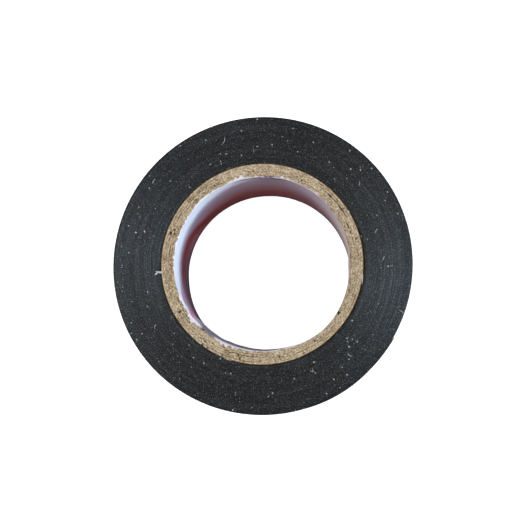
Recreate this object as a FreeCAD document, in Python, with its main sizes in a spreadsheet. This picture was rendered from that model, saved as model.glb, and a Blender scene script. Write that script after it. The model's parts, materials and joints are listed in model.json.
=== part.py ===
"""Roll of electrical insulating tape lying flat on a spiral-wound paperboard core. Millimetres, +Z up.

The origin is on the roll's axis, at the plane that the roll lies on. The core is a paper liner and five
chipboard plies. Each of them is one strip wound into a tube, so each has a narrow butt seam that climbs
round it as a steep helix. The tape is one PVC film with an adhesive layer on its inner side, wound
anticlockwise seen from above. Its last stretch, the free end, is cut into short lengths that turn outward
on hinges along the film's outer surface, so that the end can be peeled off the roll.
"""
import FreeCAD
import Part
import Sketcher
import math
import os

DIMENSIONS = [
    ("bore_radius", 16.0, "radius of the bore, which a spindle or peg goes through"),
    ("tape_width", 18.0, "width of the tape and of the core"),
    ("liner_thickness", 0.15, "paper that lines the bore"),
    ("ply_thickness", 0.45, "one layer of chipboard"),
    ("ply_count", 5, "layers of chipboard"),
    ("strip_lead", 72.5, "rise of a wound strip's edge in one turn"),
    ("seam_gap", 0.2, "gap between a strip's two edges, along the axis"),
    ("seam_run_out", 1.0, "how far the seam's cut runs past each face of the core"),
    ("seam_margin", 0.1, "how far it reaches past the strip's inner and outer walls"),
    ("liner_seam_bearing", 158.0, "where the liner's seam meets the upper face, in degrees about +Z"),
    ("ply_seam_bearing", -33.0, "the same for the innermost ply"),
    ("ply_seam_step", -23.25, "turn from one ply's seam to the next ply's"),
    ("film_thickness", 0.105, "PVC film"),
    ("adhesive_thickness", 0.025, "adhesive under the film"),
    ("turn_count", 68, "whole turns of tape on the core"),
    ("end_bearing", -30.0, "where the tape's cut end lies, in degrees about +Z"),
    ("tab_count", 6, "hinged lengths in the free end"),
    ("tab_length", 5.0, "length of each of them, along the film's outer surface"),
    ("tab_clearance", 0.01, "gap between the free end and the turn under it"),
]

HALF_TURN = math.pi
FULL_TURN = 2 * math.pi
AXIS = FreeCAD.Vector(0, 0, 1)


def make_sheet(doc):
    """The spreadsheet of driving dimensions: name, value and note in three columns."""
    sheet = doc.addObject("Spreadsheet::Sheet", "dimensions")
    for row, (alias, value, note) in enumerate(DIMENSIONS, start=1):
        sheet.set(f"A{row}", alias)
        sheet.set(f"B{row}", str(value))
        sheet.setAlias(f"B{row}", alias)
        sheet.set(f"C{row}", note)
    doc.recompute()
    return sheet


def sketch_on(body, role, name):
    """An empty sketch on one of the body's own origin planes."""
    planes = {feature.Role: feature for feature in body.Origin.OriginFeatures}
    sketch = body.newObject("Sketcher::SketchObject", name)
    sketch.AttachmentSupport = [(planes[role], "")]
    sketch.MapMode = "FlatFace"
    return sketch


def dimension(sketch, name, expression, kind, *where):
    """A named size of the sketch, bound to the spreadsheet. It starts at 1 mm, until the recompute."""
    index = sketch.addConstraint(Sketcher.Constraint(kind, *where, 1.0))
    sketch.renameConstraint(index, name)
    sketch.setExpression(f"Constraints.{name}", expression)


def draw_ring(sketch, inner, outer):
    """Two circles about the origin."""
    for name, radius, guess in (("inner", inner, 1.0), ("outer", outer, 2.0)):
        circle = sketch.addGeometry(Part.Circle(FreeCAD.Vector(), AXIS, guess), False)
        sketch.addConstraint(Sketcher.Constraint("Coincident", circle, 3, -1, 1))
        dimension(sketch, name, radius, "Radius", circle)


def draw_seam(sketch, inner, outer):
    """The seam's section: a slot through the wall, as high as the gap, that starts below the lower face."""
    corners = [FreeCAD.Vector(x, y, 0) for x, y in ((1, -1), (2, -1), (2, 0), (1, 0))]
    for start, end in zip(corners, corners[1:] + corners[:1]):
        sketch.addGeometry(Part.LineSegment(start, end), False)
    for side in range(4):
        sketch.addConstraint(Sketcher.Constraint("Coincident", side, 2, (side + 1) % 4, 1))
        sketch.addConstraint(Sketcher.Constraint("Horizontal" if side % 2 == 0 else "Vertical", side))
    dimension(sketch, "near", f"{inner} - dimensions.seam_margin", "DistanceX", -1, 1, 0, 1)
    dimension(sketch, "far", f"{outer} + dimensions.seam_margin", "DistanceX", -1, 1, 0, 2)
    dimension(sketch, "below", "dimensions.seam_run_out", "DistanceY", 0, 1, -1, 1)
    dimension(sketch, "gap", "dimensions.seam_gap", "DistanceY", 1, 1, 1, 2)


def add_wound_ring(doc, name, inner, outer, bearing):
    """One wound strip of the core: a ring with a helical butt seam. Sizes are spreadsheet expressions."""
    body = doc.addObject("PartDesign::Body", name)
    body.Label = name
    ring = sketch_on(body, "XY_Plane", f"{name}_ring")
    draw_ring(ring, inner, outer)
    pad = body.newObject("PartDesign::Pad", f"{name}_pad")
    pad.Profile = ring
    pad.setExpression("Length", "dimensions.tape_width")
    slot = sketch_on(body, "XZ_Plane", f"{name}_slot")
    draw_seam(slot, inner, outer)
    doc.recompute()
    seam = body.newObject("PartDesign::SubtractiveHelix", f"{name}_seam")
    seam.Profile = slot
    seam.ReferenceAxis = (slot, ["V_Axis"])
    seam.Mode = "pitch-height-angle"
    # merging the ring's faces across the cut makes a wall that later cuts handle badly
    seam.Refine = False
    seam.setExpression("Pitch", "dimensions.strip_lead")
    seam.setExpression("Height", "dimensions.tape_width + 2 * dimensions.seam_run_out")
    # the seam starts at bearing 0, so the body turns until its upper end is where it belongs
    body.Placement = FreeCAD.Placement(FreeCAD.Vector(), FreeCAD.Rotation(AXIS, 0))
    body.setExpression(
        "Placement.Rotation.Angle",
        f"{bearing} - (dimensions.tape_width + dimensions.seam_run_out) / dimensions.strip_lead * 360",
    )
    doc.recompute()
    if not seam.Shape.Volume < pad.Shape.Volume:
        raise RuntimeError(f"the seam of {name} cuts nothing")
    return body


def add_core(doc, sheet):
    """The liner and the plies, from the bore outward."""
    liner_outer = "dimensions.bore_radius + dimensions.liner_thickness"
    rings = [
        add_wound_ring(
            doc, "core_liner", "dimensions.bore_radius", liner_outer, "dimensions.liner_seam_bearing"
        )
    ]
    for index in range(int(sheet.ply_count)):
        rings.append(
            add_wound_ring(
                doc,
                f"core_ply_{index + 1}",
                f"{liner_outer} + {index} * dimensions.ply_thickness",
                f"{liner_outer} + {index + 1} * dimensions.ply_thickness",
                f"dimensions.ply_seam_bearing + {index} * dimensions.ply_seam_step",
            )
        )
    return rings


class Winding:
    """The tape's path: half-turn arcs about two centres in turn, each half a pitch larger than the last.

    The centres lie on the X axis, a quarter of the pitch either side of the roll's axis, so the arcs meet
    tangent to each other and the radius grows by the tape's thickness in every turn.
    """

    def __init__(self, sheet):
        self.pitch = sheet.film_thickness + sheet.adhesive_thickness
        self.core_radius = sheet.bore_radius + sheet.liner_thickness + sheet.ply_count * sheet.ply_thickness
        self.width = sheet.tape_width

    def arc_at(self, angle):
        """Centre and radius of the tape's inner face on the half turn that holds the angle."""
        half_turns = math.floor(angle / HALF_TURN + 1e-9)
        side = -1 if half_turns % 2 == 0 else 1
        centre = FreeCAD.Vector(side * self.pitch / 4, 0, 0)
        return centre, self.core_radius + self.pitch / 4 + half_turns * self.pitch / 2

    def wall(self, height, start, end):
        """Edges along the path, at a height above the tape's inner face, between two winding angles."""
        edges = []
        while start < end - 1e-9:
            stop = min(end, (math.floor(start / HALF_TURN + 1e-9) + 1) * HALF_TURN)
            centre, radius = self.arc_at(start)
            turned = start % FULL_TURN
            circle = Part.Circle(centre, AXIS, radius + height)
            edges.append(Part.ArcOfCircle(circle, turned, turned + stop - start).toShape())
            start = stop
        return edges

    def layer(self, bottom, top, start, end):
        """The solid between two heights above the tape's inner face and two winding angles."""
        inner = self.wall(bottom, start, end)
        outer = self.wall(top, start, end)
        first = Part.makeLine(inner[0].Vertexes[0].Point, outer[0].Vertexes[0].Point)
        last = Part.makeLine(inner[-1].Vertexes[-1].Point, outer[-1].Vertexes[-1].Point)
        outline = Part.Wire([first] + outer + [last] + inner[::-1])
        return Part.Face(outline).extrude(AXIS * self.width)


def add_solid(doc, name, shape):
    """A sub-part whose outline is a spiral, which no sketch holds well."""
    feature = doc.addObject("Part::Feature", name)
    feature.Label = name
    feature.Shape = shape
    feature.Placement = FreeCAD.Placement()
    return feature


def add_tape(doc, sheet):
    """The wound film and adhesive, then the free end's lengths of each, from the roll outward."""
    winding = Winding(sheet)
    adhesive = sheet.adhesive_thickness
    end = sheet.turn_count * FULL_TURN + math.radians(sheet.end_bearing)
    tab_count = int(sheet.tab_count)
    outer_radius = winding.arc_at(end)[1] + winding.pitch + sheet.tab_clearance
    tab_angle = sheet.tab_length / outer_radius
    root = end - tab_count * tab_angle
    pieces = [
        add_solid(doc, "wound_adhesive", winding.layer(0, adhesive, 0, root)),
        add_solid(doc, "wound_film", winding.layer(adhesive, winding.pitch, 0, root)),
    ]
    lift = sheet.tab_clearance
    for index in range(tab_count):
        start = root + index * tab_angle
        span = (start, start + tab_angle)
        under = winding.layer(lift, lift + adhesive, *span)
        over = winding.layer(lift + adhesive, lift + winding.pitch, *span)
        pieces.append(add_solid(doc, f"end_adhesive_{index + 1}", under))
        pieces.append(add_solid(doc, f"end_film_{index + 1}", over))
    return pieces


def check(doc, pieces):
    """Stops before anything is written if an object failed or a sub-part isn't one sound solid."""
    for item in doc.Objects:
        if {"Invalid", "Error"} & set(item.State):
            raise RuntimeError(f"{item.Label} is {item.State}")
    for piece in pieces:
        if piece.Shape.isNull() or not piece.Shape.isValid() or len(piece.Shape.Solids) != 1:
            raise RuntimeError(f"{piece.Label} is not one valid solid")


def main():
    doc = FreeCAD.newDocument("electrical_tape_roll")
    sheet = make_sheet(doc)
    pieces = add_core(doc, sheet) + add_tape(doc, sheet)
    doc.recompute()
    check(doc, pieces)
    os.makedirs("parts", exist_ok=True)
    for piece in pieces:
        piece.Shape.exportStep(f"parts/{piece.Label}.step")
        print(piece.Label, round(piece.Shape.Volume, 3), "mm3")


main()
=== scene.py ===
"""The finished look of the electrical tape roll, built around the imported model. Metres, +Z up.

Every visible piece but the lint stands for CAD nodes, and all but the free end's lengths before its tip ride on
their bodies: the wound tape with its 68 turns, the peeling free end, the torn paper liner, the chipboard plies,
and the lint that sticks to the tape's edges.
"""
import bpy
import json
import math
import numpy as np
from mathutils import Matrix, Vector


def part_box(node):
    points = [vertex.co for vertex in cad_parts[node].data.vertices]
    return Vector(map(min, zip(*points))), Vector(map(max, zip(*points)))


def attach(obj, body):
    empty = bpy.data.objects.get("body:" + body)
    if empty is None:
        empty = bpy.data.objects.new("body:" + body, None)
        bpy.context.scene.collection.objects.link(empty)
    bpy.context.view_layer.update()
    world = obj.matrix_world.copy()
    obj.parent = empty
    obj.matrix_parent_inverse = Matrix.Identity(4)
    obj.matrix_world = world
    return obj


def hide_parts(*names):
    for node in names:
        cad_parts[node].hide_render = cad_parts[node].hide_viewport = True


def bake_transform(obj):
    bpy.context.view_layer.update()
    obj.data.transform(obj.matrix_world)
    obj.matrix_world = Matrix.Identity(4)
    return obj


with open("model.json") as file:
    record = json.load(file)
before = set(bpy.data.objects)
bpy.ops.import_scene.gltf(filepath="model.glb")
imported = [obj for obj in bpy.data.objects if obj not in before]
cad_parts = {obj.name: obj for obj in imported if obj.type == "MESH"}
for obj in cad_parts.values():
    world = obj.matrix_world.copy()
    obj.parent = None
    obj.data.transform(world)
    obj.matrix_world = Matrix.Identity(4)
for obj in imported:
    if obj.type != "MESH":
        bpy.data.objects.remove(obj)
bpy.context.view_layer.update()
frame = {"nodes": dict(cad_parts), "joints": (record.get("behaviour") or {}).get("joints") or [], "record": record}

# ---------------------------------------------------------------- sizes, from the frame

MM = 0.001
TURN = 2 * math.pi
MOUNTS = {mount["name"]: mount for mount in frame["record"]["mounts"]}
JOINTS = sorted(frame["joints"], key=lambda joint: joint["name"])
PLY_NODES = sorted(node for node in frame["nodes"] if node.startswith("core_ply_"))

BORE = MOUNTS["core_bore"]["dims"]["r_mm"] * MM
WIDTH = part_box("wound_film")[1][2]
LINER_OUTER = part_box("core_liner")[1][0]
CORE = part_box(PLY_NODES[-1])[1][0]
PLY = (CORE - LINER_OUTER) / len(PLY_NODES)
FILM = 0.105 * MM
ADHESIVE = 0.025 * MM
PITCH = FILM + ADHESIVE

HINGES = [Vector(joint["pos_m"]) for joint in JOINTS]
BEARINGS = [math.atan2(hinge.y, hinge.x) for hinge in HINGES]
TAB = BEARINGS[1] - BEARINGS[0]


def winding_angle(hinge):
    """How far the tape has been wound where it reaches a hinge, from the hinge's radius and bearing."""
    turns = (hinge.xy.length - CORE - PITCH) / PITCH
    part = math.atan2(hinge.y, hinge.x) / TURN % 1
    return TURN * (round(turns - part) + part)


ROOT = winding_angle(HINGES[0])
TIP = ROOT + len(HINGES) * TAB
LIFT = 0.01 * MM  # the free end lies this far off the turn below it
LEAN = 0.24 * MM  # the roll is this much smaller at its lower face, as the turns have crept
LEAD = 72.5 * MM  # rise of a core strip's edge in one turn
BORDER_BEARING = math.radians(176)  # where the liner's white border is widest
BULGE_BEARING = -112.0  # degrees; where the liner has come away from the core
UNTORN_BEARING = -128.0  # degrees; where the liner's rim is not torn
RIM_SHADOW_BEARING = 91.0  # degrees; where a painted shadow lies under the liner's torn rim


def tape_radius(angle):
    """Radius of the tape's inner face at a winding angle."""
    return CORE + PITCH * angle / TURN


# ---------------------------------------------------------------- shape helpers

SHARP = math.radians(60)  # edges that turn more than this are creases


def smooth_step(value):
    """0 below 0, 1 above 1, and a soft S between."""
    held = np.clip(value, 0.0, 1.0)
    return held * held * (3 - 2 * held)


def ripple(angle, seed, first, last, fall=1.0):
    """Smooth noise round a circle, with an rms of 1: waves of first to last periods a turn, the shorter ones
    weaker by the power fall."""
    rng = np.random.RandomState(seed)
    periods = np.arange(first, last + 1)
    strength = rng.randn(len(periods)) * periods ** -float(fall)
    phase = rng.rand(len(periods)) * TURN
    angle = np.asarray(angle, float)
    total = np.zeros(angle.shape)
    for count, weight, offset in zip(periods, strength, phase):
        total += weight * np.cos(count * angle + offset)
    return total / math.sqrt((strength**2).sum() / 2)


def window(angle, centre, half_width):
    """1 at a bearing in degrees and 0 beyond half_width degrees from it, with soft sides."""
    apart = np.abs((np.degrees(angle) - centre + 180) % 360 - 180)
    return smooth_step(1 - apart / half_width)


def signed_volume(points, faces):
    """Volume of a closed mesh, negative if its faces look inward."""
    total = 0.0
    for size in {len(face) for face in faces}:
        block = np.array([face for face in faces if len(face) == size])
        first = points[block[:, 0]]
        for corner in range(1, size - 1):
            cross = np.cross(points[block[:, corner]], points[block[:, corner + 1]])
            total += float((first * cross).sum()) / 6
    return total


def add_piece(name, points, faces, looks, which=None):
    """A smooth-shaded closed mesh object. which gives each face's place in the list of materials."""
    if signed_volume(points, faces) < 0:
        faces = [face[::-1] for face in faces]
    mesh = bpy.data.meshes.new(name)
    mesh.from_pydata(points.tolist(), [], faces)
    for look in looks:
        mesh.materials.append(look)
    mesh.polygons.foreach_set("use_smooth", [True] * len(faces))
    if which is not None:
        mesh.polygons.foreach_set("material_index", which)
    mesh.set_sharp_from_angle(angle=SHARP)
    mesh.update()
    piece = bpy.data.objects.new(name, mesh)
    bpy.context.scene.collection.objects.link(piece)
    return piece


def polar(radius, angle, height):
    """Points as an array of x, y, z."""
    radius, angle, height = np.broadcast_arrays(radius, angle, height)
    return np.stack([radius * np.cos(angle), radius * np.sin(angle), height], axis=-1)


def ring_faces(columns, rows):
    """Quads of a ring whose section is a closed loop of rows, for points numbered column by column."""
    faces = []
    for column in range(columns):
        here, there = column * rows, (column + 1) % columns * rows
        for row in range(rows):
            after = (row + 1) % rows
            faces.append((here + row, there + row, there + after, here + after))
    return faces


def strip_faces(columns, rows):
    """The same for an open strip, with a cap at each end."""
    faces = []
    for column in range(columns - 1):
        here, there = column * rows, (column + 1) * rows
        for row in range(rows):
            after = (row + 1) % rows
            faces.append((here + row, there + row, there + after, here + after))
    faces.append(tuple(reversed(range(rows))))
    faces.append(tuple(range((columns - 1) * rows, columns * rows)))
    return faces


# ---------------------------------------------------------------- materials


def linear(red, green, blue):
    """A colour given as 0-255 screen values."""

    def channel(value):
        share = value / 255
        return share / 12.92 if share <= 0.04045 else ((share + 0.055) / 1.055) ** 2.4

    return (channel(red), channel(green), channel(blue), 1.0)


class Look:
    """A procedural material being built. Each call adds a node and returns the socket to use next."""

    def __init__(self, name, **surface):
        self.material = bpy.data.materials.new(name)
        self.material.use_nodes = True
        self.tree = self.material.node_tree
        self.surface = self.tree.nodes["Principled BSDF"]
        self.set(**surface)
        place = self.node("ShaderNodeTexCoord").outputs["Object"]
        self.place = self.vector("SCALE", place, Scale=1 / MM)  # millimetres

    def node(self, kind, **settings):
        made = self.tree.nodes.new(kind)
        for name, value in settings.items():
            setattr(made, name, value)
        return made

    def feed(self, socket, value):
        if isinstance(value, bpy.types.NodeSocket):
            self.tree.links.new(value, socket)
        else:
            socket.default_value = value

    def set(self, **surface):
        """Values or sockets for the surface's own inputs, with _ for the spaces in their names."""
        for name, value in surface.items():
            self.feed(self.surface.inputs[name.replace("_", " ")], value)

    def math(self, operation, first, second=0.0, third=0.0, clamp=False):
        made = self.node("ShaderNodeMath", operation=operation, use_clamp=clamp)
        for socket, value in zip(made.inputs, (first, second, third)):
            self.feed(socket, value)
        return made.outputs[0]

    def plus(self, first, second, clamp=False):
        return self.math("ADD", first, second, clamp=clamp)

    def times(self, first, second):
        return self.math("MULTIPLY", first, second)

    def near(self, value, centre, inside, outside, strength=1.0):
        """strength within inside of the centre, and 0 beyond outside of it."""
        apart = self.math("ABSOLUTE", self.math("SUBTRACT", value, centre))
        return self.span(apart, inside, outside, strength, 0.0)

    def vector(self, operation, first, second=(0, 0, 0), Scale=1.0):
        made = self.node("ShaderNodeVectorMath", operation=operation)
        self.feed(made.inputs[0], first)
        self.feed(made.inputs[1], second)
        self.feed(made.inputs[3], Scale)
        return made.outputs[1 if operation in ("LENGTH", "DOT_PRODUCT") else 0]

    def parts(self, vector):
        made = self.node("ShaderNodeSeparateXYZ")
        self.feed(made.inputs[0], vector)
        return made.outputs

    def span(self, value, low, high, to_low=0.0, to_high=1.0):
        """value mapped from low..high to to_low..to_high, and held there."""
        made = self.node("ShaderNodeMapRange", clamp=True)
        for socket, item in zip(made.inputs, (value, low, high, to_low, to_high)):
            self.feed(socket, item)
        return made.outputs["Result"]

    def mix(self, share, first, second):
        """Two colours mixed."""
        made = self.node("ShaderNodeMix", data_type="RGBA")
        self.feed(made.inputs[0], share)
        self.feed(made.inputs[6], first)
        self.feed(made.inputs[7], second)
        return made.outputs[2]

    def noise(self, scale, detail=3.0, roughness=0.5, vector=None, extra=None):
        """Noise about 0.5. scale is in periods a millimetre of the vector."""
        made = self.node("ShaderNodeTexNoise", noise_dimensions="3D" if extra is None else "4D")
        self.feed(made.inputs["Vector"], self.place if vector is None else vector)
        if extra is not None:
            self.feed(made.inputs["W"], extra)
        self.feed(made.inputs["Scale"], scale)
        self.feed(made.inputs["Detail"], detail)
        self.feed(made.inputs["Roughness"], roughness)
        return made.outputs["Fac"]

    def radius(self):
        """Distance from the roll's axis, in millimetres."""
        flat = self.vector("MULTIPLY", self.place, (1, 1, 0))
        return self.vector("LENGTH", flat)

    def along_turns(self, around, across, up):
        """A vector and an extra coordinate for noise that is stretched round the axis. around, across and
        up are periods a millimetre round the axis at 20 mm from it, away from the axis, and along it."""
        flat = self.vector("MULTIPLY", self.place, (1, 1, 0))
        circle = self.vector("SCALE", self.vector("NORMALIZE", flat), Scale=20.0 * around)
        height = self.vector("MULTIPLY", self.place, (0, 0, up))
        return {
            "vector": self.vector("ADD", circle, height),
            "extra": self.times(self.radius(), across),
        }

    def specks(self, cell, size, share):
        """1 inside small round specks: one at most in each cell of that many millimetres, in that share of
        the cells."""
        made = self.node("ShaderNodeTexVoronoi", feature="F1")
        self.feed(made.inputs["Vector"], self.place)
        self.feed(made.inputs["Scale"], 1 / cell)
        picked = self.math("LESS_THAN", self.parts(made.outputs["Color"])[0], share)
        near = self.span(made.outputs["Distance"], size / cell * 0.35, size / cell * 0.6, 1.0, 0.0)
        return self.times(near, picked)

    def bump(self, height, distance, strength=1.0, over=None):
        """A normal for relief as deep as distance, in millimetres."""
        made = self.node("ShaderNodeBump")
        self.feed(made.inputs["Height"], height)
        self.feed(made.inputs["Distance"], distance * MM)
        self.feed(made.inputs["Strength"], strength)
        if over is not None:
            self.feed(made.inputs["Normal"], over)
        return made.outputs["Normal"]


def slit_edge():
    """The tape's cut edges: matt black PVC, rough as the blade left it, with paler lumps and white dust, and
    fine arcs where the turns differ."""
    look = Look("vinyl_slit_edge", IOR=1.5)
    turns = look.noise(1.0, 2.0, 0.6, **look.along_turns(0.12, 4.5, 0.0))
    arcs = look.noise(1.0, 3.0, 0.65, **look.along_turns(0.03, 1.3, 0.0))
    grain = look.noise(4.4, 3.0, 0.7)
    crumb = look.noise(9.5, 2.0, 0.6)
    lump = look.span(look.plus(grain, look.times(crumb, 0.6)), 0.83, 1.0)
    tone = look.plus(
        look.span(turns, 0.3, 0.7, -0.12, 0.12),
        look.span(arcs, 0.36, 0.64, -0.09, 0.07),
    )
    shade = look.plus(lump, tone, clamp=True)
    base = look.mix(shade, linear(0, 0, 0), linear(107, 107, 107))
    fine = look.times(look.specks(0.5, 0.16, 0.22), 0.35)
    coarse = look.times(look.specks(0.95, 0.28, 0.2), 0.75)
    dust = look.math("MAXIMUM", fine, coarse)
    rough = look.plus(
        look.span(crumb, 0.3, 0.7, 0.36, 0.52),
        look.span(arcs, 0.36, 0.64, 0.10, -0.06),
    )
    relief = look.plus(grain, look.times(crumb, 0.5))
    look.set(
        Base_Color=look.mix(dust, base, linear(214, 213, 208)),
        Roughness=look.plus(rough, look.times(dust, 0.4), clamp=True),
        Normal=look.bump(relief, 0.035, 0.9),
    )
    return look.material


def film_face():
    """The film's broad face: smooth black PVC with a faint orange peel and long streaks from rollers."""
    look = Look("vinyl_film_face", IOR=1.53)
    peel = look.noise(1.6, 3.0, 0.5)
    streak = look.noise(1.0, 3.0, 0.6, **look.along_turns(0.03, 0.0, 3.0))
    smudge = look.noise(0.18, 3.0, 0.55)
    base = look.mix(look.span(streak, 0.3, 0.7), linear(36, 36, 38), linear(52, 52, 54))
    dust = look.times(look.specks(1.9, 0.14, 0.13), 0.7)
    rough = look.plus(look.span(smudge, 0.3, 0.7, 0.2, 0.34), look.span(streak, 0.3, 0.7, 0.0, 0.07))
    normal = look.bump(streak, 0.012, 0.6, over=look.bump(peel, 0.02, 0.6))
    look.set(
        Base_Color=look.mix(dust, base, linear(190, 188, 184)),
        Roughness=look.plus(rough, look.times(dust, 0.4), clamp=True),
        Normal=normal,
    )
    return look.material


def adhesive_face():
    """The adhesive: black, tacky and a little uneven, with pulled strings across it."""
    look = Look("adhesive_face", IOR=1.49)
    pulled = look.noise(1.0, 3.0, 0.6, **look.along_turns(2.2, 0.0, 0.35))
    base = look.mix(look.span(pulled, 0.3, 0.7), linear(24, 23, 23), linear(44, 42, 40))
    look.set(
        Base_Color=base,
        Roughness=look.span(pulled, 0.3, 0.7, 0.24, 0.48),
        Normal=look.bump(pulled, 0.03, 0.7),
    )
    return look.material


def chipboard():
    """Grey-brown recycled board, cut across: short fibres along the plies, with dark and pale flecks, and a
    thin line of brown glue at the outside. Painted shade darkens it with depth in the partings between the plies."""
    look = Look("chipboard_cut", Specular_IOR_Level=0.2)
    fibre = look.noise(1.0, 3.0, 0.65, **look.along_turns(2.0, 5.0, 4.0))
    cloud = look.noise(0.45, 3.0, 0.6)
    mottle = look.noise(3.0, 4.0, 0.75)
    tone = look.plus(
        look.span(fibre, 0.32, 0.68, -0.45, 0.45),
        look.span(mottle, 0.34, 0.66, -0.6, 0.6),
    )
    tone = look.plus(tone, look.span(cloud, 0.3, 0.7, -0.25, 0.25))
    colour = look.mix(look.span(tone, -0.75, 0.75), linear(128, 94, 56), linear(255, 228, 190))
    colour = look.mix(look.times(look.specks(1.1, 0.2, 0.16), 0.75), colour, linear(74, 54, 36))
    colour = look.mix(look.times(look.specks(0.8, 0.17, 0.2), 0.65), colour, linear(246, 240, 226))
    outside = look.span(look.radius(), CORE / MM - 0.12, CORE / MM - 0.04)
    glue = look.times(outside, look.span(mottle, 0.35, 0.6, 0.5, 0.95))
    colour = look.mix(glue, colour, linear(176, 122, 70))
    height = look.parts(look.place)[2]
    inside = look.math("MINIMUM", height, look.math("SUBTRACT", WIDTH / MM, height))  # from either face
    # painted shade: the plies' sides darken with depth below either face, inside the partings
    colour = look.mix(look.span(inside, 0.14, 0.5, 0.0, 0.75), colour, linear(66, 50, 36))
    relief = look.plus(fibre, look.times(mottle, 1.2))
    look.set(Base_Color=colour, Roughness=0.93, Normal=look.bump(relief, 0.1, 0.8))
    return look.material


def from_border(bearing):
    """A bearing in degrees, as radians round from the one where the liner's white border is widest."""
    return math.radians(bearing) - BORDER_BEARING


def liner_paper():
    """Coated paper printed in soft lilac and mauve, with a white border that is wide on one side of the bore,
    one plain red band and a short magenta line that climbs with the seam. Its torn rim is bare white fibre. It has
    painted shade where it has come loose, under its rim and low in the bore, and painted light opposite the
    border."""
    look = Look("liner_coated_paper", Specular_IOR_Level=0.2)
    depth = look.math("SUBTRACT", WIDTH / MM, look.parts(look.place)[2])  # below the upper face, in mm
    turned = look.node("ShaderNodeVectorRotate", rotation_type="Z_AXIS")
    look.feed(turned.inputs["Vector"], look.place)
    look.feed(turned.inputs["Angle"], -BORDER_BEARING)
    across = look.parts(turned.outputs[0])
    bearing = look.math("ARCTAN2", across[1], across[0])  # round from the border's widest place
    facing = look.math("COSINE", bearing)  # 1 on the border's side and -1 opposite
    cloud = look.noise(0.25, 3.0, 0.55)
    fibre = look.noise(6.0, 3.0, 0.7)
    level = look.plus(depth, look.span(cloud, 0.2, 0.8, -1.6, 1.6))
    worn = look.plus(depth, look.span(cloud, 0.2, 0.8, -0.5, 0.5))

    # the ground is lilac, paler opposite the border as painted light where the left lamp falls on that wall, and
    # redder lower down
    colour = look.mix(look.span(cloud, 0.3, 0.7), linear(212, 189, 206), linear(228, 206, 221))
    colour = look.mix(look.span(facing, -0.95, -0.5, 0.9, 0.0), colour, linear(232, 218, 210))
    redder = look.span(level, 5.0, 13.0, 0.0, 0.95)
    redder = look.times(redder, look.span(facing, -0.8, -0.2, 0.15, 1.0))
    colour = look.mix(redder, colour, linear(206, 122, 122))

    # the red band lies lower on one side, and fades out at both ends
    rise = look.span(bearing, -0.8, -0.25)
    rise = look.times(look.times(rise, rise), look.math("MULTIPLY_ADD", rise, -2.0, 3.0))
    band = look.near(worn, look.math("MULTIPLY_ADD", rise, -4.6, 15.4), 0.9, 3.3)
    band = look.times(band, look.span(bearing, 0.1, 0.5, 1.0, 0.0))
    band = look.times(band, look.span(bearing, -1.5, -0.6, 0.1, 1.0))
    colour = look.mix(band, colour, linear(178, 70, 72))

    # painted shade: darker near the lower rim, where the bore is deepest in shadow, and darker still deep on one
    # side, where the opposite rim shades the wall
    colour = look.mix(look.span(depth, 15.5, 18.0, 0.0, 0.7), colour, linear(120, 98, 100))
    shade = look.times(look.near(bearing, 0.3, 0.3, 0.65), look.span(depth, 10.5, 13.5, 0.0, 0.75))
    colour = look.mix(shade, colour, linear(112, 90, 98))

    # the white border
    border = look.math(
        "MINIMUM",
        look.span(facing, 0.1, 1.0, -1.0, 6.4),
        look.span(bearing, 0.25, 0.7, 6.4, 0.6),
    )
    white = look.span(look.math("SUBTRACT", border, depth), -2.2, 1.0)
    colour = look.mix(white, colour, linear(229, 224, 228))

    # painted shade on the loose part, up to the rim only where the rim is not torn
    torn_here = look.near(bearing, from_border(UNTORN_BEARING) + TURN, 0.08, 0.13)
    torn_here = look.math("SUBTRACT", 1.0, torn_here)
    loose_painted_shade = look.times(look.span(bearing, 0.56, 0.9), look.span(bearing, 1.86, 2.26, 0.88, 0.0))
    edge = look.math("MAXIMUM", look.span(depth, 0.2, 0.5), look.math("SUBTRACT", 1.0, torn_here))
    colour = look.mix(look.times(loose_painted_shade, edge), colour, linear(98, 80, 84))

    # the magenta line
    rule = look.near(worn, look.math("MULTIPLY_ADD", bearing, -LEAD / MM / TURN, 8.8), 0.4, 1.3, 0.85)
    rule = look.times(rule, look.near(bearing, 0.54, 0.14, 0.26))
    colour = look.mix(rule, colour, linear(206, 62, 112))

    # painted shadow in a thin line under the torn rim, and a rim as brown as the board opposite the border
    rim_shadow = look.math("ABSOLUTE", look.math("SUBTRACT", worn, 1.1))
    rim_shadow = look.plus(rim_shadow, look.span(look.noise(1.5, 3.0, 0.6), 0.35, 0.65, 0.0, 0.4))
    rim_shadow = look.span(rim_shadow, 0.3, 0.7, 0.9, 0.0)
    rim_shadow = look.times(rim_shadow, look.near(bearing, from_border(RIM_SHADOW_BEARING), 0.2, 0.36))
    colour = look.mix(rim_shadow, colour, linear(112, 92, 108))
    grubby = look.times(look.span(facing, -0.95, -0.7, 0.85, 0.0), look.span(depth, 0.3, 0.9, 1.0, 0.0))
    colour = look.mix(grubby, colour, linear(178, 156, 130))

    torn = look.plus(depth, look.span(fibre, 0.3, 0.7, -0.2, 0.2))
    torn = look.span(torn, 0.1, 0.4, 1.0, 0.0)
    torn = look.times(torn, look.math("MAXIMUM", torn_here, 0.25))
    torn = look.times(torn, look.span(facing, -0.9, -0.6, 0.15, 1.0))
    roughness = look.plus(0.5, look.times(torn, 0.4))
    fuzz = look.plus(0.08, look.times(torn, 0.8))
    look.set(
        Base_Color=look.mix(torn, colour, linear(254, 241, 238)),
        Roughness=roughness,
        Normal=look.bump(fibre, 0.05, fuzz, over=look.bump(cloud, 0.15, 0.25)),
    )
    return look.material


def lint_look():
    """Paper dust and short pale fibres."""
    look = Look("lint", Roughness=0.9)
    shade = look.noise(9.0, 2.0, 0.5)
    look.set(Base_Color=look.mix(shade, linear(186, 180, 168), linear(240, 238, 234)),
             Normal=look.bump(shade, 0.02, 0.5))
    return look.material


# ---------------------------------------------------------------- the wound tape

STEPS = 168  # columns of points in a turn
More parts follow.
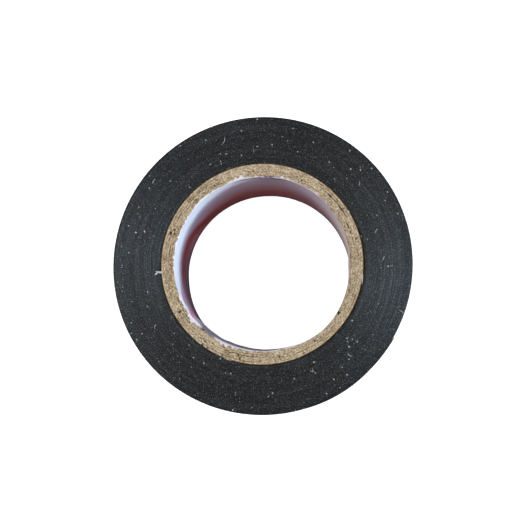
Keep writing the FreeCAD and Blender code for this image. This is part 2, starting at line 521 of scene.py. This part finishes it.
# a turn's profile from the adhesive's groove across the film: place across the turn and height, in mm
GROOVE = ((0.0125, -0.034), (0.032, -0.010), (0.078, 0.0), (0.124, -0.010))
WALL_LEVELS = (0.006, *np.linspace(0.06, 0.94, 11), 0.994)  # rows of the wall, as shares of its height
TOP_SEED, BOTTOM_SEED = 3, 8  # for the wander of the turns in either face
# turns that stand proud of their neighbours or below them in the upper face: how much tape lies under them
# in mm, bearing, half width in degrees and height in mm
STRAYS = (
    (1.6, 186.0, 36.0, 0.030),
    (3.0, 181.0, 46.0, 0.045),
    (4.1, 174.0, 30.0, -0.030),
    (5.0, 178.0, 42.0, 0.035),
    (7.2, 172.0, 40.0, 0.028),
    (2.4, 3.0, 42.0, -0.035),
    (3.7, -6.0, 34.0, 0.030),
    (5.6, 8.0, 46.0, 0.032),
    (7.0, -12.0, 30.0, 0.026),
    (3.4, 96.0, 50.0, 0.028),
    (5.9, -84.0, 60.0, -0.030),
)


def edge_wander(angle, seed):
    """How far a turn's edge stands out of the roll's face, as the tape drifted while it was wound."""
    rng = np.random.RandomState(seed)
    depth = (tape_radius(angle) - CORE) / MM  # how much tape lies under this turn
    cover = (tape_radius(ROOT) - tape_radius(angle)) / MM  # and over it
    drift = 0.012 * np.sin(depth * 1.9 + seed) + 0.008 * np.sin(depth * 4.3 + 2 * seed)
    deep = window(angle, 4.0, 75.0)  # the first turns have sunk beside the core, most of all on one side
    sunk = (0.17 + 0.17 * deep) * (1 - smooth_step(depth / (0.5 + 0.3 * deep)))
    proud = 0.05 * window(angle, 2.0, 55.0) * np.exp(-(((depth - 0.98) / 0.09) ** 2))
    for under, centre, half_width, height in STRAYS:
        ridge = np.exp(-(((depth - under) / 0.11) ** 2))
        proud = proud + height * window(angle, centre, half_width) * ridge
    sunk = sunk - proud + 0.05 * (1 - smooth_step(cover / 0.35))
    knots = rng.randn(int(angle.max() / TURN) * 3 + 12)
    wobble = np.interp(angle / TURN * 3, np.arange(len(knots)), knots)
    return (drift - sunk + 0.008 * wobble) * MM


def build_wound_tape(looks):
    """All the turns as one closed skin: a spiral of crowned edges above and below, and the two walls."""
    count = int(ROOT / TURN * STEPS)
    angle = ROOT + (np.arange(count + 1) - count) * TURN / STEPS
    top = np.zeros((count + 1, len(GROOVE), 3))
    bottom = np.zeros_like(top)
    for row, (across, height) in enumerate(GROOVE):
        radius = tape_radius(angle) + across * MM
        top[:, row] = polar(radius, angle, WIDTH + height * MM + edge_wander(angle, TOP_SEED))
        low = 0.03 * MM - height * MM - edge_wander(angle, BOTTOM_SEED)
        lean = LEAN * (tape_radius(angle) - CORE) / (tape_radius(ROOT) - CORE)
        bottom[:, row] = polar(radius - lean, angle, np.maximum(low, 0.0))
    last = angle[count - STEPS + 1:]
    rim_radius = tape_radius(last) + PITCH
    rim_top = polar(rim_radius, last, WIDTH - 0.02 * MM + edge_wander(last, TOP_SEED))
    rim_bottom = polar(rim_radius - LEAN, last, 0.05 * MM - edge_wander(last, BOTTOM_SEED))
    rows = len(GROOVE)
    side = (count + 1) * rows + STEPS
    points = [top.reshape(-1, 3), rim_top, bottom.reshape(-1, 3), rim_bottom]

    def number(step, row):
        """The point at a step of the winding and a row of its profile. The last row is the next turn's
        first."""
        if row < rows:
            return step * rows + row
        if step + STEPS <= count:
            return (step + STEPS) * rows
        return (count + 1) * rows + step - (count - STEPS + 1)

    faces, which = [], []
    for step in range(count):
        for row in range(rows):
            after = step + 1
            quad = (number(step, row), number(after, row), number(after, row + 1), number(step, row + 1))
            faces.append(quad)
            faces.append(tuple(corner + side for corner in reversed(quad)))
            which += [0, 0]
    inner = [number(step, 0) for step in range(STEPS + 1)]
    inner += [number(0, row) for row in range(rows - 1, 0, -1)]
    outer = [number(step, rows) for step in range(count - STEPS, count + 1)]
    outer += [number(count, row) for row in range(rows - 1, 0, -1)]
    for here, there in zip(inner, inner[1:] + inner[:1]):
        faces.append((there, here, here + side, there + side))
        which.append(1)
    # the outer wall has rows of points of its own
    points = np.concatenate(points)
    start = len(points)
    upper, lower = points[outer], points[[corner + side for corner in outer]]
    bearing = np.arctan2(upper[:, 1], upper[:, 0])
    past_tip = (bearing - TIP) % TURN  # the free end covers the wall from its root up to the tip
    fade = 0.25  # radians over which the wall's waves die out beside the free end
    free = smooth_step(past_tip / fade) * smooth_step(((ROOT - TIP) % TURN - past_tip) / fade)
    wall = []
    for index, level in enumerate(WALL_LEVELS):
        shift = 0.012 * MM * ripple(bearing, 40 + index // 3, 2, 14) * math.sin(level * math.pi) * free
        wall.append(upper * (1 - level) + lower * level + polar(shift, bearing, 0.0))
    points = np.concatenate([points] + wall)
    size = len(outer)
    loops = [outer]
    loops += [list(range(start + row * size, start + (row + 1) * size)) for row in range(len(WALL_LEVELS))]
    loops.append([corner + side for corner in outer])
    for above, below in zip(loops, loops[1:]):
        for here in range(size):
            there = (here + 1) % size
            faces.append((above[here], above[there], below[there], below[here]))
            which.append(1)
    piece = add_piece("wound_tape", points, faces, looks, which)
    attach(piece, "roll")
    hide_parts("wound_film", "wound_adhesive")


# ---------------------------------------------------------------- the free end


LIP = 0.18 * MM  # how far the tape's lower corner stands off at the tip
LIP_LENGTH = 5.0 * MM  # and how far back from the tip it starts to
SKEW = 0.12 * MM  # how uneven the cut at the tip is
END_COLUMNS = 30


def end_offset(angle, height):
    """How far the tape stands off the turn below: nothing until the last few millimetres, then a slight lip
    that is largest at the lower corner."""
    to_tip = (TIP - angle) * tape_radius(TIP)
    lip = smooth_step(1 - to_tip / LIP_LENGTH) ** 2
    corner = 1 - 0.85 * height / WIDTH
    return LIFT + LIP * lip * corner


def end_section(inner, outer):
    """A closed outline across the tape, as offset and height pairs, with slightly crowned edges."""
    round_off = 0.012 * MM
    shoulder = WIDTH - 0.008 * MM
    middle = (inner + outer) / 2
    heights = np.concatenate([[0.05 * MM], np.linspace(0.2 * MM, WIDTH - 0.2 * MM, 9), [WIDTH - 0.05 * MM]])
    outline = [(outer, height) for height in heights]
    outline += [(outer - round_off, shoulder), (middle, WIDTH), (inner + round_off, shoulder)]
    outline += [(inner, height) for height in heights[::-1]]
    outline += [(inner + round_off, 0.02 * MM), (middle, 0.012 * MM), (outer - round_off, 0.02 * MM)]
    return np.array(outline)


def end_strip(name, first, last, inner, outer, look):
    """A length of film or adhesive between two winding angles."""
    section = end_section(inner, outer)
    angle = np.linspace(first, last, END_COLUMNS)[:, None] + np.zeros(len(section))
    offset, height = section[:, 0][None, :], section[:, 1][None, :]
    skew = SKEW * np.sin(height / WIDTH * 5.0) * smooth_step((angle - TIP + TAB / 2) / (TAB / 2))
    angle = angle + skew / tape_radius(TIP)
    tucked = 0.1 * np.maximum(ROOT - angle, 0) * tape_radius(ROOT)
    radius = tape_radius(angle) + offset + end_offset(angle, height) - tucked - LEAN * (1 - height / WIDTH)
    points = polar(radius, angle, height + 0 * angle).reshape(-1, 3)
    return add_piece(name, points, strip_faces(END_COLUMNS, len(section)), [look])


def on_tape(angle):
    """A point on the tape's outer face, half way up."""
    return Vector(polar(tape_radius(angle) + PITCH, angle, WIDTH / 2).tolist())


def build_free_end(film_look, adhesive_look):
    """The free end in lengths that run from the middle of one hinged length to the middle of the next."""
    bodies = ["roll"] + [joint["child"] for joint in JOINTS]
    layers = (
        ("film", ADHESIVE, PITCH, film_look, "vinyl_film"),
        ("adhesive", 0.0, ADHESIVE, adhesive_look, "adhesive"),
    )
    marks = [ROOT] + [ROOT + (index + 0.5) * TAB for index in range(len(JOINTS))] + [TIP]
    tuck = 0.4 * MM / tape_radius(ROOT)  # the first length starts inside the outer turn, so no joint shows
    for layer, inner, outer, look, slot in layers:
        for index in range(len(marks) - 1):
            first = marks[index] - (tuck if index == 0 else 0)
            piece = end_strip(f"free_end_{layer}_{index}", first, marks[index + 1], inner, outer, look)
            if index < len(JOINTS):
                tuple(on_tape(marks[index]))
                tuple(on_tape(marks[index + 1]))
                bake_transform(piece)
                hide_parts(f"end_{layer}_{index + 1}")
            else:
                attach(piece, bodies[-1])


# ---------------------------------------------------------------- the core

CORE_COLUMNS = 900
PARTING_DEPTH = 0.8 * MM  # the plies' cut edges fall away into the partings down to here
SEAM_RUN = 89.4  # degrees that a seam runs round between the two faces
PRESS = 0.42 * MM  # how far the upper rim of the bore is pressed outward
PRESS_BEARING, PRESS_HALF_WIDTH = -45.0, 36.0  # degrees
# where each ply's seam meets the upper face, in degrees
SEAMS = (-33.0, -56.25, -79.5, -102.75, -126.0)
# pits in the upper face where the board has crumbled: ply, counted from the liner's side, bearing, half
# width in degrees and depth in mm
PITS = (
    (0, -33.5, 1.5, 0.5),
    (3, 161.0, 1.3, 0.55),
    (2, 158.5, 0.9, 0.4),
    (4, -122.5, 1.2, 0.32),
    (4, -113.0, 0.9, 0.3),
    (2, -104.0, 0.8, 0.3),
    (1, 121.0, 0.8, 0.35),
    (3, 14.0, 0.8, 0.4),
    (1, 64.0, 0.8, 0.35),
    (2, -149.5, 0.9, 0.4),
)
# partings between plies: which gap, counted from the liner, bearing, half width in degrees, opening in mm
PARTINGS = (
    (3, 38.0, 16.0, 0.22),
    (2, 20.0, 14.0, 0.13),
    (2, -112.0, 30.0, 0.10),
    (3, -130.0, 20.0, 0.09),
    (1, -150.0, 24.0, 0.05),
    (4, 132.0, 36.0, 0.05),
    (3, 140.0, 38.0, 0.06),
    (2, 146.0, 36.0, 0.05),
    (1, 136.0, 34.0, 0.05),
    (4, 48.0, 26.0, 0.05),
    (1, 70.0, 22.0, 0.05),
    (4, -105.0, 24.0, 0.03),
    (3, -62.0, 22.0, 0.07),
    (2, -48.0, 16.0, 0.08),
    (4, -20.0, 22.0, 0.05),
    (2, 178.0, 20.0, 0.05),
)


def gap_between(index, angle):
    """Opening between two plies at the upper face, index 0 being the liner's and the first ply's."""
    opening = 0.016 + 0.018 * ripple(angle, 60 + index, 2, 9, 0.4)
    opening = opening + 0.008 * ripple(angle, 65 + index, 20, 90, 0.3)
    for gap, centre, half_width, extra in PARTINGS:
        if gap == index:
            ragged = 1 + 0.55 * ripple(angle, 70 + index, 20, 120, 0.3)
            opening = opening + extra * window(angle, centre, half_width) * ragged
    return np.clip(opening, 0.004, 0.3) * MM


def pressed(radius, angle, height):
    """Radius in the core once its mouth has been pressed outward on one side, least at the lower face."""
    share = (CORE - radius) / (CORE - BORE) * height / WIDTH
    return radius + PRESS * window(angle, PRESS_BEARING, PRESS_HALF_WIDTH) * share


def build_ply(index, look):
    """One ply: a ring whose cut face is fuzzy and whose edges fall away into the gaps beside it."""
    angle = np.linspace(0, TURN, CORE_COLUMNS, endpoint=False)
    inner, outer = LINER_OUTER + index * PLY, LINER_OUTER + (index + 1) * PLY
    inner_gap = gap_between(index, angle) / 2
    outer_gap = gap_between(index + 1, angle) / 2 if index + 1 < len(PLY_NODES) else 0.01 * MM + 0 * angle
    rng = np.random.RandomState(90 + index)
    lean = 0.025 * MM * ripple(angle, 100 + index, 1, 30, 0.7)

    def face_rows(level, up):
        """Points across the cut face, from the bore side out."""
        rows = []
        shares = np.array([0.0, 0.07, 0.2, 0.35, 0.5, 0.65, 0.8, 0.93, 1.0])
        edge = np.array([1.0, 0.3, 0.0, 0.0, 0.0, 0.0, 0.0, 0.3, 1.0])
        rough = rng.randn(len(shares), CORE_COLUMNS)
        rough = (np.roll(rough, 1, axis=1) + 2 * rough + np.roll(rough, -1, axis=1)) / 4
        for share, worn, fuzz in zip(shares, edge, rough):
            fall = worn * (0.012 * MM + 1.2 * (inner_gap if share < 0.5 else outer_gap))
            radius = inner + inner_gap + share * (outer - outer_gap - inner - inner_gap)
            radius = radius + 0.010 * MM * np.roll(fuzz, 7)
            height = lean - fall - 0.05 * MM + 0.030 * MM * fuzz
            notch = 0.5 * window(angle, SEAMS[index] if up > 0 else SEAMS[index] - SEAM_RUN, 0.75)
            for ply, centre, half_width, pit in PITS:
                if ply == index and up > 0:
                    notch = notch + pit * window(angle, centre, half_width)
            height = height - notch * MM
            rows.append((radius, level + up * np.minimum(height, 0.03 * MM if up > 0 else -0.005 * MM)))
        return rows

    flat = 0 * angle
    rows = [(inner + flat, flat + WIDTH - PARTING_DEPTH)]
    rows += face_rows(WIDTH, 1)
    rows += [(outer + flat, flat + WIDTH - PARTING_DEPTH), (outer + flat, flat + PARTING_DEPTH)]
    rows += face_rows(0.0, -1)[::-1]
    rows += [(inner + flat, flat + PARTING_DEPTH)]
    rings = [polar(pressed(radius, angle, height), angle, height) for radius, height in rows]
    points = np.stack(rings, axis=1).reshape(-1, 3)
    piece = add_piece(f"ply_{index + 1}", points, ring_faces(CORE_COLUMNS, len(rows)), [look])
    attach(piece, "roll")
    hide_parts(PLY_NODES[index])


LINER_SEAM = 158.0  # degrees; where the liner's seam meets the upper face
# the liner's rim: bearing, half width in degrees, and how far the paper reaches past the rim there, in mm
RIM = (
    (-140.5, 8.0, 0.65),
    (-128.0, 7.5, -0.12),
    (-112.0, 9.0, 0.3),
    (-91.0, 8.0, -0.15),
    (-74.0, 9.0, 0.22),
    (135.0, 9.0, 0.3),
    (172.0, 30.0, 0.1),
    (124.0, 7.0, 0.3),
    (106.0, 10.0, 0.42),
    (88.0, 9.0, -0.45),
    (72.0, 6.0, 0.25),
    (52.0, 10.0, 0.2),
    (36.0, 32.0, -0.25),
    (-35.0, 40.0, -0.3),
)

# where the liner has come away from the core and bulges inward: bearing, half width in degrees, and height
# in mm
LOOSE = ((BULGE_BEARING, 60.0, 0.62), (-136.0, 22.0, 0.34), (-1.0, 14.0, 0.35))


def build_liner(look):
    """The paper tube: an inner and an outer face, with a torn rim that is short in places and folded over
    the core in others, and the ridge of its helical seam."""
    angle = np.linspace(0, TURN, CORE_COLUMNS, endpoint=False)
    reach = 0.05 + 0.14 * ripple(angle, 21, 8, 130, 0.35)
    ragged = 1 + 0.25 * ripple(angle, 22, 12, 90, 0.3)
    for centre, half_width, extra in RIM:
        reach = reach + extra * window(angle, centre, half_width) * ragged
    reach = np.clip(reach, -0.7, 1.1) * MM
    bend = 0.14 * MM
    thickness = LINER_OUTER - BORE - 0.02 * MM
    wave = 0.02 * MM * ripple(angle, 23, 2, 18)
    loose = sum(window(angle, centre, half_width) * height * MM for centre, half_width, height in LOOSE)
    loose = loose * (1 + 0.06 * ripple(angle, 24, 6, 40))

    def rim_point(distance, out):
        """Radius and height at a distance past the rim along the paper, on the face that lies out from the
        inner one."""
        turned = np.clip(distance / bend, 0, math.pi / 2)
        flat = np.maximum(distance - bend * math.pi / 2, 0)
        radius = BORE + out + (bend - out) * (1 - np.cos(turned)) + flat
        height = WIDTH - 0.10 * MM + np.minimum(distance, 0) + (bend - out) * np.sin(turned)
        return radius, height

    def face(out, levels):
        rows = []
        for level in levels:
            distance = reach - (1 - level) * (WIDTH + reach)
            radius, height = rim_point(distance, out)
            seam = height / LEAD * TURN + math.radians(LINER_SEAM - SEAM_RUN) - angle
            seam = (seam + math.pi) % TURN - math.pi
            ridge = 0.035 * MM * np.exp(-((seam * BORE / (0.25 * MM)) ** 2))
            below = np.maximum(WIDTH - height, 0) / MM
            bulge = loose * smooth_step(below / 1.1) * smooth_step((11.0 - below) / 9.0)
            radius = radius + (wave - ridge) * (1 if out == 0 else 0) - bulge
            rows.append((radius, np.maximum(height, 0.0)))
        return rows

    low = np.linspace(0, 0.94, 26)
    high = np.linspace(0.945, 1.0, 22)
    levels = np.concatenate([low, high])
    rows = face(0.0, levels) + face(thickness, levels[::-1])
    rings = [polar(pressed(radius, angle, height), angle, height) for radius, height in rows]
    points = np.stack(rings, axis=1).reshape(-1, 3)
    piece = add_piece("liner", points, ring_faces(CORE_COLUMNS, len(rows)), [look])
    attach(piece, "roll")
    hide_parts("core_liner")


# ---------------------------------------------------------------- lint

# the larger bits of fluff: bearing, distance from the axis, length, heading from the outward direction and,
# for the fibres, bend, with the angles in degrees and the rest in mm
CHIPS = (
    (184.6, 18.75, 1.4, -12.0),
    (185.4, 19.4, 0.7, 32.0),
    (-44.3, 21.9, 0.36, 20.0),
    (-62.4, 20.3, 0.34, 60.0),
    (165.7, 23.9, 0.34, 0.0),
    (164.3, 22.4, 0.4, -50.0),
    (-58.5, 24.7, 0.3, 10.0),
    (-127.0, 17.6, 0.5, 60.0),
    (30.0, 18.3, 0.4, 80.0),
)
FIBRES = (
    (-19.6, 26.1, 1.25, -14.0, 6.0),
    (0.5, 21.8, 1.0, 50.0, 40.0),
    (-46.6, 22.5, 1.3, -40.0, 130.0),
    (14.0, 21.2, 1.1, 60.0, -30.0),
    (38.0, 22.6, 0.9, 30.0, 50.0),
    (108.0, 23.4, 1.6, -60.0, 60.0),
    (-66.0, 21.3, 1.0, 20.0, 90.0),
    (141.0, 25.3, 1.2, 75.0, 60.0),
    (-150.0, 22.1, 1.0, 10.0, 80.0),
)
THICK_FIBRE, THIN_FIBRE, CORE_FIBRE = 0.042 * MM, 0.02 * MM, 0.022 * MM  # half thicknesses
FLECKS, THIN_FIBRES, CORE_FIBRES = 36, 9, 26  # how many are strewn at random


class Lint:
    """Flecks and fibres gathered into one mesh."""

    def __init__(self, seed):
        self.rng = np.random.RandomState(seed)
        self.points = []
        self.faces = []

    def fleck(self, radius, bearing, length, width, heading=0.0):
        """A crumpled scrap of paper, with six corners below and above."""
        start, corners = len(self.points), 6
        along = Vector((math.cos(bearing + heading), math.sin(bearing + heading), 0))
        side = Vector((-along.y, along.x, 0))
        centre = Vector((radius * math.cos(bearing), radius * math.sin(bearing), WIDTH + 0.01 * MM))
        for level in (0.0, 1.0):
            for corner in range(corners):
                turned = TURN * (corner + 0.6 * self.rng.rand()) / corners
                reach = 0.35 + 0.3 * self.rng.rand()
                ahead, aside = length * reach * math.cos(turned), width * reach * math.sin(turned)
                spot = centre + along * ahead + side * aside
                self.points.append(spot + Vector((0, 0, width * (0.35 * level + 0.15 * self.rng.rand()))))
        self.faces.append(tuple(reversed(range(start, start + corners))))
        self.faces.append(tuple(range(start + corners, start + 2 * corners)))
        self.sides(start, corners)

    def fibre(self, radius, bearing, length, heading, bend, thick):
        """A thin curved hair that tapers at both ends."""
        start, corners, steps = len(self.points), 5, 12
        heading += bearing
        spot = Vector((radius * math.cos(bearing), radius * math.sin(bearing), WIDTH + 0.03 * MM))
        for step in range(steps):
            thin = thick * (0.35 + 0.65 * math.sin(math.pi * (step + 0.5) / steps))
            across = Vector((-math.sin(heading), math.cos(heading), 0))
            lift = Vector((0, 0, 0.08 * MM * math.sin(math.pi * step / (steps - 1))))
            for corner in range(corners):
                turned = TURN * corner / corners
                ring = across * (thin * math.cos(turned)) + Vector((0, 0, thin * math.sin(turned)))
                self.points.append(spot + lift + ring)
            spot = spot + Vector((math.cos(heading), math.sin(heading), 0)) * (length / steps)
            heading += bend / steps
        for step in range(steps - 1):
            self.sides(start + step * corners, corners)
        self.faces.append(tuple(reversed(range(start, start + corners))))
        self.faces.append(tuple(range(start + (steps - 1) * corners, start + steps * corners)))

    def sides(self, start, corners):
        for corner in range(corners):
            after = (corner + 1) % corners
            above = start + corners
            self.faces.append((start + corner, start + after, above + after, above + corner))


def build_lint(look):
    """Flecks of paper and short curled fibres that stick to the tape's upper edges and the core."""
    lint = Lint(5)
    rng = lint.rng
    outer = tape_radius(ROOT)
    for bearing, radius, length, heading in CHIPS:
        bearing, heading = math.radians(bearing), math.radians(heading)
        lint.fleck(radius * MM, bearing, length * MM, (0.2 + 0.15 * length) * MM, heading)
    for bearing, radius, length, heading, bend in FIBRES:
        bearing, heading, bend = math.radians(bearing), math.radians(heading), math.radians(bend)
        lint.fibre(radius * MM, bearing, length * MM, heading, bend, THICK_FIBRE)
    for _ in range(FLECKS):
        size = (0.13 + 0.14 * rng.rand() ** 3) * MM
        lint.fleck(CORE + (outer - CORE) * rng.rand(), TURN * rng.rand(), size, size * 0.8)
    for _ in range(THIN_FIBRES):
        length = (0.4 + 0.5 * rng.rand()) * MM
        radius, bearing = CORE + (outer - CORE) * rng.rand(), TURN * rng.rand()
        lint.fibre(radius, bearing, length, TURN * rng.rand(), rng.randn(), THIN_FIBRE)
    for _ in range(CORE_FIBRES):
        length = (0.25 + 0.35 * rng.rand()) * MM
        radius, bearing = LINER_OUTER + (CORE - LINER_OUTER) * rng.rand(), TURN * rng.rand()
        lint.fibre(radius, bearing, length, TURN / 4 + 0.4 * rng.randn(), rng.randn(), CORE_FIBRE)
    piece = add_piece("lint", np.array([list(point) for point in lint.points]), lint.faces, [look])
    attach(piece, "roll")


# ---------------------------------------------------------------- floor, light and camera


def build_floor():
    """A wide pale sheet that stays white to the camera."""
    look = Look("floor_pale", Base_Color=linear(235, 235, 235), Roughness=0.9)
    look.set(Emission_Color=(1, 1, 1, 1), Emission_Strength=0.95)
    half = 3.0
    mesh = bpy.data.meshes.new("floor")
    corners = [(-half, -half, 0), (half, -half, 0), (half, half, 0), (-half, half, 0)]
    mesh.from_pydata(corners, [], [(0, 1, 2, 3)])
    mesh.materials.append(look.material)
    floor = bpy.data.objects.new("floor", mesh)
    bpy.context.scene.collection.objects.link(floor)
    floor.visible_diffuse = False  # it shines, and would light the bore from below
    floor.visible_glossy = False  # and would turn the tape's black wall grey


def build_backdrop():
    """A pale wall all round, which only the camera sees, so the floor has no horizon behind it."""
    look = Look("backdrop_pale", Base_Color=linear(235, 235, 235), Roughness=0.9)
    look.set(Emission_Color=(1, 1, 1, 1), Emission_Strength=1.0)
    sides, radius, height = 48, 2.9, 3.0
    angle = np.arange(sides) * TURN / sides
    low, high = polar(radius, angle, 0.0), polar(radius, angle, height)
    mesh = bpy.data.meshes.new("backdrop")
    faces = [(side, (side + 1) % sides, sides + (side + 1) % sides, sides + side) for side in range(sides)]
    mesh.from_pydata(np.concatenate([low, high]).tolist(), [], faces)
    mesh.materials.append(look.material)
    backdrop = bpy.data.objects.new("backdrop", mesh)
    bpy.context.scene.collection.objects.link(backdrop)
    backdrop.visible_diffuse = backdrop.visible_glossy = backdrop.visible_shadow = False


def add_light(name, bearing, elevation, distance, width, height, power, colour):
    """A softbox that faces the roll."""
    data = bpy.data.lights.new(name, "AREA")
    data.shape = "RECTANGLE"
    data.size, data.size_y = width, height
    data.energy = power
    data.color = colour
    lamp = bpy.data.objects.new(name, data)
    flat = math.cos(math.radians(elevation))
    turned = math.radians(bearing)
    away = Vector((flat * math.cos(turned), flat * math.sin(turned), math.sin(math.radians(elevation))))
    lamp.location = away * distance
    lamp.rotation_euler = away.to_track_quat("Z", "Y").to_euler()
    bpy.context.scene.collection.objects.link(lamp)


# bearing and elevation in degrees, distance, width and height in metres, power in watts, and colour
LIGHTS = {
    "right_window": (-12.0, 10.4, 1.2, 0.5, 0.12, 12.0, (0.74, 0.86, 1.0)),
    "right_softbox": (3.0, 30.0, 0.7, 0.3, 0.3, 2.3, (0.36, 0.68, 1.0)),
    "left_softbox": (172.0, 32.0, 0.7, 0.3, 0.35, 2.5, (0.95, 0.98, 1.0)),
}
ROOM = {"From Min": -0.3, "From Max": 0.5, "To Min": 0.04, "To Max": 0.36}  # strength by upward direction
ROOM_COLOUR = (1.0, 0.97, 0.93, 1.0)


def build_light():
    """A low window on the right, softboxes at both sides and a dim room, darker below."""
    for name, settings in LIGHTS.items():
        add_light(name, *settings)
    world = bpy.data.worlds.new("room")
    world.use_nodes = True
    tree = world.node_tree
    place = tree.nodes.new("ShaderNodeTexCoord")
    split = tree.nodes.new("ShaderNodeSeparateXYZ")
    ramp = tree.nodes.new("ShaderNodeMapRange")
    tree.links.new(place.outputs["Generated"], split.inputs[0])
    tree.links.new(split.outputs["Z"], ramp.inputs["Value"])
    for name, value in ROOM.items():
        ramp.inputs[name].default_value = value
    tree.links.new(ramp.outputs["Result"], tree.nodes["Background"].inputs["Strength"])
    tree.nodes["Background"].inputs["Color"].default_value = ROOM_COLOUR
    bpy.context.scene.world = world
    bpy.context.scene.view_settings.view_transform = "Standard"


CAMERA_PLACE = Vector((15.67, -26.59, 208.0)) * MM
CAMERA_TARGET = Vector((-0.263, 0.527, WIDTH / MM)) * MM
CAMERA_LENS, CAMERA_SENSOR = 73.47, 36.0  # millimetres


def build_camera():
    """Almost straight down from 21 cm, a little towards the viewer and to the right, with +Y up the
    picture."""
    data = bpy.data.cameras.new("camera")
    data.sensor_width = CAMERA_SENSOR
    data.lens = CAMERA_LENS
    camera = bpy.data.objects.new("camera", data)
    camera.location = CAMERA_PLACE
    back = (CAMERA_PLACE - CAMERA_TARGET).normalized()
    right = Vector((0, 1, 0)).cross(back).normalized()
    up = back.cross(right)
    camera.rotation_euler = Matrix((right, up, back)).transposed().to_euler()
    data.clip_start = 0.01
    bpy.context.scene.collection.objects.link(camera)
    bpy.context.scene.camera = camera


build_camera()
build_floor()
build_backdrop()
build_light()
EDGE, FACE, STICKY = slit_edge(), film_face(), adhesive_face()
build_wound_tape([EDGE, FACE])
build_free_end(FACE, STICKY)
BOARD = chipboard()
for ply in range(len(PLY_NODES)):
    build_ply(ply, BOARD)
build_liner(liner_paper())
build_lint(lint_look())
